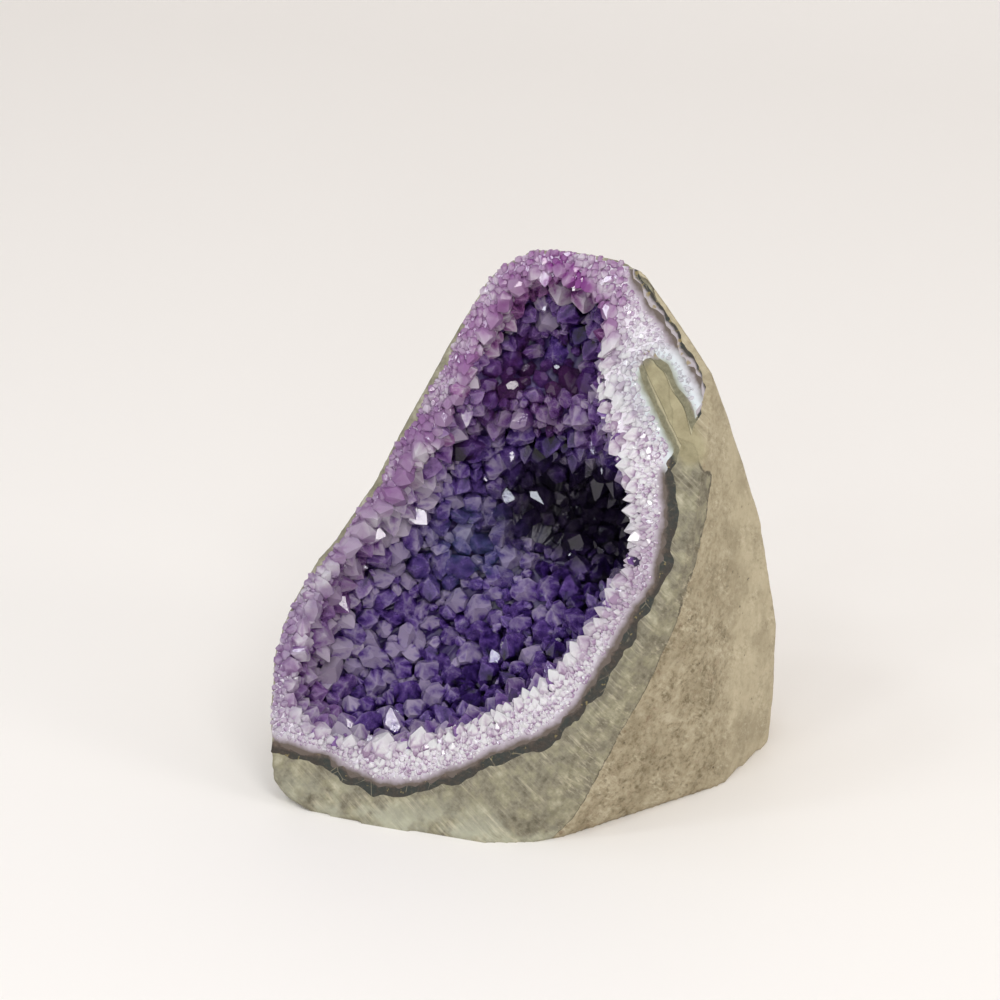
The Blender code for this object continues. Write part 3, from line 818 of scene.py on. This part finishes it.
def grow_points(name, sites, shapes, material):
    """Sets a quartz point on each site, which is its place, axis, radius, length and tint, in
    millimetres. The tint is the point's own tone, made paler at the left by painted light."""
    bm = bmesh.new()
    tints_and_painted_light = []
    edge_highlight_root_shades = []
    for number, (place, axis, radius, length, tint_and_painted_light) in enumerate(sites):
        shape, edge_highlight_root_shade = shapes[number % len(shapes)]
        shape = shape.copy()
        turn = axis.to_track_quat("Z", "Y").to_matrix().to_4x4()
        spin = Matrix.Rotation(number * 2.399, 4, "Z")
        size = Matrix.Diagonal((radius, radius, radius * length, 1.0))
        shape.transform(Matrix.Translation(place) @ turn @ spin @ size)
        bm.from_mesh(shape)
        tints_and_painted_light += [tint_and_painted_light] * len(shape.polygons)
        edge_highlight_root_shades += edge_highlight_root_shade
        bpy.data.meshes.remove(shape)
    for vert in bm.verts:
        vert.co = face_point(*vert.co)
    mesh = bpy.data.meshes.new(name)
    bm.to_mesh(mesh)
    bm.free()
    keep_values(mesh, "tint_and_painted_light", tints_and_painted_light, "FACE")
    keep_values(mesh, "edge_highlight_root_shade", edge_highlight_root_shades)
    mesh.flip_normals()
    mesh.materials.append(material)
    obj = bpy.data.objects.new(name, mesh)
    bpy.context.scene.collection.objects.link(obj)
    return obj


def hollow_normal(angle, turn):
    """Which way the wall of the hollow faces there, in face space."""
    step = 0.02
    here = [Vector(bowl_point(a, t, hollow_edge, 0.0, 0.0)) for a, t in (
        (angle - step, turn), (angle + step, turn), (angle, max(turn - step, 0.001)),
        (angle, min(turn + step, 1.57)))]
    normal = (here[1] - here[0]).cross(here[3] - here[2]).normalized()
    middle = Vector((GEODE_CENTRE[0], GEODE_CENTRE[1], 0.0))
    place = Vector(bowl_point(angle, turn, hollow_edge, 0.0, 0.0))
    return normal if normal.dot(middle - place) > 0 else -normal


def scatter(chance, rounds, spot, crowding):
    """Tries places in rounds of (tries, least, most radius), and keeps those with room."""
    places = np.zeros((MOST_POINTS, 3))
    sizes = np.zeros(MOST_POINTS)
    kept = []
    for tries, low, high in rounds:
        for _ in range(tries):
            found = spot(chance, chance.uniform(low, high))
            if not found:
                continue
            place, radius, seat = found
            count = len(kept)
            gap = np.sum((places[:count] - place) ** 2, axis=1)
            if (gap < (crowding * (sizes[:count] + radius)) ** 2).any():
                continue
            places[count] = place
            sizes[count] = radius
            kept.append((Vector(place), radius, seat))
    return kept


def wall_spot(chance, radius):
    """A place on the wall of the hollow. The points are smaller near the opening."""
    angle = chance.uniform(-math.pi, math.pi)
    turn = math.acos(chance.uniform(0.0, 1.0))
    place = bowl_point(angle, turn, hollow_edge, 0.0, 0.0)
    if place[2] < 0.9 or past_edge(stone_edge, place[0], place[1]) > -1.5:
        return None
    return place, radius * (0.58 + 0.42 * min(1.0, place[2] / 9.0)), (angle, turn)


def rim_spot(chance, radius):
    """A place on the sawn face between the hollow and the rind."""
    angle = chance.uniform(-math.pi, math.pi)
    inner = edge_distance(hollow_edge, angle) - 1.6
    quartz = edge_distance(quartz_edge, angle)
    ragged = 0.9 * noise.noise(Vector((math.cos(angle), math.sin(angle), 0.0)) * 9.0)
    # The finest grains come closest to the rind
    seam = 2.1 if radius < 0.5 else 2.9
    outer = min(quartz - seam + ragged, edge_distance(stone_edge, angle) - 1.0)
    share = chance.uniform(0.0, 1.0)
    if outer <= inner or (radius > 1.3 and share > 0.3):
        return None
    reach = inner + (outer - inner) * share
    across = GEODE_CENTRE[0] + reach * math.cos(angle)
    up = GEODE_CENTRE[1] + reach * math.sin(angle)
    if radius > 0.5:
        radius *= 1.12 - 0.4 * share
    # The points of the rim are bigger at the top and at the left
    if up > 117.0 and across < 5.0 or across < -40.0 and up > 34.0:
        radius *= 1.3 if up > 117.0 else 1.5
        if past_edge(stone_edge, across, up) > -0.8 * radius:
            return None
    if from_tongue(across, up) < TONGUE_HALF + 2.3 + radius:
        return None
    return (across, up, 0.0), radius, (angle, share)


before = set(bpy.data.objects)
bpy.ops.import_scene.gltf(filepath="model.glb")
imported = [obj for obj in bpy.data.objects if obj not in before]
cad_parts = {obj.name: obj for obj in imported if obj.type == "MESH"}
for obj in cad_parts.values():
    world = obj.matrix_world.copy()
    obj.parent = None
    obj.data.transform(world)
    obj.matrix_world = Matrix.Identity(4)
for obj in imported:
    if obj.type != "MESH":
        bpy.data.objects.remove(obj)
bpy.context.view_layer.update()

basalt_look = sawn_basalt()
rind_look = dark_rind()
bed_look = milky_quartz()

whole = stone()
rind_outer = bowl("rind_outer", quartz_edge, RIND_THICK, CRUST_DEEP, 1.4, 5.0)
rind_inner = bowl("rind_inner", quartz_edge, -0.1, CRUST_DEEP, 1.5, 2.6)
bed_hollow = bowl("bed_hollow", hollow_edge, 1.0, 0.0, 1.6, 2.2)
rind_room = copy_of(rind_outer, "rind_room")
for shape, grow in ((rind_room, 0.0), (rind_outer, 0.1), (rind_inner, 1.9)):
    finger = tongue(grow)
    cut(shape, finger, "DIFFERENCE")
    take_away(finger)

basalt = copy_of(whole, "basalt_fine")
cut(basalt, rind_room, "DIFFERENCE")
rind = copy_of(whole, "rind_fine")
cut(rind, rind_outer, "INTERSECT")
cut(rind, rind_inner, "DIFFERENCE")
bed = copy_of(whole, "quartz_bed")
cut(bed, rind_inner, "INTERSECT")
cut(bed, bed_hollow, "DIFFERENCE")
take_away(whole, rind_outer, rind_inner, bed_hollow, rind_room)
for piece, look in ((basalt, basalt_look), (rind, rind_look), (bed, bed_look)):
    piece.data.materials.clear()
    piece.data.materials.append(look)

halo = []
for vert in basalt.data.vertices:
    across, up, deep = on_face(vert.co)
    halo.append(past_edge(halo_edge, across, up) + 1.6 * max(0.0, deep - 6.0))
keep_values(basalt.data, "past_halo", halo)
for piece in (basalt, rind, bed):
    spots = [on_face(vert.co) for vert in piece.data.vertices]
    past = [past_edge(quartz_edge, across, up) for across, up, deep in spots]
    skirt = [from_tongue(across, up) + max(0.0, deep - 2.0) for across, up, deep in spots]
    keep_values(piece.data, "past_quartz", past)
    keep_values(piece.data, "from_tongue", skirt)
keep_values(bed.data, "outward", [outward(vert) for vert in bed.data.vertices])

chance = np.random.RandomState(SEED)
shapes = crystal_shapes(chance, SHAPE_COUNT)

groups = {"lilac": [], "violet": [], "deep": [], "pink": []}
wall = scatter(chance, WALL_ROUNDS, wall_spot, WALL_CROWDING)
for place, radius, (angle, turn) in wall:
    # Near the rim the points lean out of the hollow; at the left, painted light makes them paler
    near_rim = max(0.0, 1.0 - place.z / 7.0)
    lean = Vector(chance.normal(0.0, 0.24, 3)) + Vector((0.0, 0.0, -0.65 * near_rim))
    axis = (hollow_normal(angle, turn) + lean).normalized()
    deep = place.z + chance.normal(0.0, 1.5)
    rise = chance.uniform(-0.1, 0.55) * radius
    clump = noise.noise(place / 8.0)
    # Painted light: a paler tint at the left of the hollow, where lilac also reaches deeper
    left = max(0.0, min(1.0, (-28.0 - place.x) / 18.0))
    tint_and_painted_light = max(0.0, 0.95 * chance.uniform(0.0, 1.0) + 0.5 * clump + 0.45 * left)
    site = (place + axis * rise, axis, radius, chance.uniform(0.9, 1.2), tint_and_painted_light)
    if place.z < 9.0 and (place.y > PINK_FROM_UP + chance.normal(0.0, 2.0) or (
        place.y > 84.0 and place.x < -22.0 and deep < 4.5
    )):
        groups["pink"].append(site)
    elif deep < LILAC_TO + 9.0 * left:
        groups["lilac"].append(site)
    elif deep < VIOLET_TO:
        groups["violet"].append(site)
    else:
        groups["deep"].append(site)

rim = []
for place, radius, (angle, share) in scatter(chance, RIM_ROUNDS, rim_spot, RIM_CROWDING):
    inward = Vector((-math.cos(angle), -math.sin(angle), 0.0))
    axis = inward * (1.1 - 0.7 * share) + Vector((0.0, 0.0, -0.8))
    axis = (axis + Vector(chance.normal(0.0, 0.3, 3))).normalized()
    place.z = chance.uniform(-0.1, 0.35) + max(0.0, 0.3 - share) * 2.5
    rim.append((place, axis, radius, chance.uniform(0.9, 1.3), float(chance.uniform(0.0, 1.0))))

for across, up, radius in BIG_TEETH:
    inward = Vector((GEODE_CENTRE[0] - across, GEODE_CENTRE[1] - up, 0.0)).normalized()
    axis = (inward + Vector((0.0, 0.0, -0.35))).normalized()
    rim.append((Vector((across, up, 0.6)), axis, radius, 1.15, 0.75))

looks = {
    "rim_points": (rim, grown_quartz(
        "clear_quartz", ("#B99DBB", "#DFCFE0", "#FBF7FA", "#FFFFFF"), 0.4, "#EFE6F4", 0.0, (
            ((-10.0, 135.0, 0.0), 22.0, "#973A9B", 0.95),
            ((-36.0, 122.0, 0.0), 32.0, "#9E5CA2", 0.8),
            ((-66.0, 48.0, 0.0), 44.0, "#8C5E9E", 0.72),
            ((-48.0, 92.0, 0.0), 36.0, "#94609E", 0.85),
            ((20.0, 66.0, 0.0), 26.0, "#B496B4", 0.5),
            ((18.0, 117.0, 0.0), 17.0, "#DEDFE4", 0.85)))),
    "lilac_points": (groups["lilac"], grown_quartz(
        "lilac_amethyst", ("#331D4B", "#8050A2", "#BC90D6", "#F6E8FC"), 0.6, "#C9A0E6", 80.0, (
            ((-62.0, 50.0, -4.0), 26.0, "#955AA0", 0.55),))),
    "violet_points": (groups["violet"], grown_quartz(
        "violet_amethyst", ("#150A27", "#5A358C", "#A27ACC", "#F0DEFB"), 0.6, "#B184E0", 110.0, (
            ((-20.0, 108.0, -12.0), 26.0, "#7A4484", 0.6),), cave=True)),
    "deep_points": (groups["deep"], grown_quartz(
        "deep_amethyst", ("#110820", "#492B82", "#8E6AC8", "#E6D3F9"), 0.6, "#A070D2", 120.0, (
            # A painted reflection: blue light caught between the deep points
            ((-34.0, 71.0, -26.0), 17.0, "#7690BE", 0.42),), cave=True)),
    "pink_points": (groups["pink"], grown_quartz(
        "pink_amethyst", ("#3E1A48", "#8F4795", "#C88CCA", "#FAEAFA"), 0.6, "#D98AD6", 90.0)),
}
crystals = [grow_points(name, sites, shapes, look) for name, (sites, look) in looks.items()]
for shape, edge_highlight_root_shade in shapes:
    bpy.data.meshes.remove(shape)

for obj in (basalt, rind, bed):
    obj.data.shade_smooth()
    obj.data.set_sharp_from_angle(angle=math.radians(40.0))
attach(basalt, "root")
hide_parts("basalt_matrix")
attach(rind, "root")
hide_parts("rind")
for obj in [bed] + crystals:
    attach(obj, "root")
    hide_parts("amethyst_crust")


def studio():
    """A pale sweep under and behind the stone."""
    bm = bmesh.new()
    start = bm.verts.new((-2.2, -1.6, 0.0))
    end = bm.verts.new((-2.2, 0.7, 0.0))
    bm.edges.new((start, end))
    bmesh.ops.spin(
        bm, geom=[end], cent=(-2.2, 0.7, 0.7), axis=(1.0, 0.0, 0.0), dvec=(0.0, 0.0, 0.0),
        angle=math.radians(90.0), steps=24,
    )
    top = max(bm.verts, key=lambda v: v.co.z)
    high = bm.verts.new(top.co + Vector((0.0, 0.0, 1.6)))
    bm.edges.new((top, high))
    made = bmesh.ops.extrude_edge_only(bm, edges=bm.edges[:])
    moved = [item for item in made["geom"] if isinstance(item, bmesh.types.BMVert)]
    bmesh.ops.translate(bm, vec=(4.4, 0.0, 0.0), verts=moved)
    material, tree, shader = new_material("pale_paper")
    shader.inputs["Base Color"].default_value = to_linear("#F6F2EE")
    shader.inputs["Roughness"].default_value = 0.6
    mesh = bpy.data.meshes.new("sweep")
    bmesh.ops.recalc_face_normals(bm, faces=bm.faces)
    bm.to_mesh(mesh)
    bm.free()
    mesh.shade_smooth()
    mesh.materials.append(material)
    sweep = bpy.data.objects.new("sweep", mesh)
    bpy.context.scene.collection.objects.link(sweep)


def area_light(name, place, side, power, colour):
    """A square light, with its side in metres and its power in watts, aimed at the stone."""
    light = bpy.data.lights.new(name, "AREA")
    light.size = side
    light.energy = power
    light.color = to_linear(colour)[:3]
    obj = bpy.data.objects.new(name, light)
    obj.location = place
    aim = Vector(LIGHTS_TARGET) - Vector(place)
    obj.rotation_euler = aim.to_track_quat("-Z", "Y").to_euler()
    bpy.context.scene.collection.objects.link(obj)


studio()
world = bpy.data.worlds.new("studio")
world.use_nodes = True
world.node_tree.nodes["Background"].inputs["Color"].default_value = to_linear("#F7F4F2")
world.node_tree.nodes["Background"].inputs["Strength"].default_value = 0.69
bpy.context.scene.world = world
area_light("key", (1.1, -1.2, 1.4), 0.5, 8.0, "#FFFDFA")
area_light("right", (1.7, -0.2, 0.9), 0.5, 3.5, "#FFFDFA")
area_light("low", (0.6, -1.3, 0.35), 0.2, 1.8, "#FFFFFF")
for number, place in enumerate(GLINTS):
    area_light(f"glint_{number}", place, 0.2, 1.35, "#EFF7FF")
bpy.context.scene.view_settings.view_transform = "Standard"

camera = bpy.data.cameras.new("camera")
camera.sensor_width = 36.0
camera.lens = CAMERA_LENS
camera.clip_start = 0.05
camera.clip_end = 20.0
eye = bpy.data.objects.new("camera", camera)
around = math.radians(CAMERA_TURN)
above = math.radians(CAMERA_RISE)
back = Vector((
    math.sin(around) * math.cos(above), -math.cos(around) * math.cos(above), math.sin(above)
))
eye.location = Vector(CAMERA_TARGET) * MM + back * CAMERA_AWAY
eye.rotation_mode = "QUATERNION"
eye.rotation_quaternion = (-back).to_track_quat("-Z", "Y")
bpy.context.scene.collection.objects.link(eye)
bpy.context.scene.camera = eye
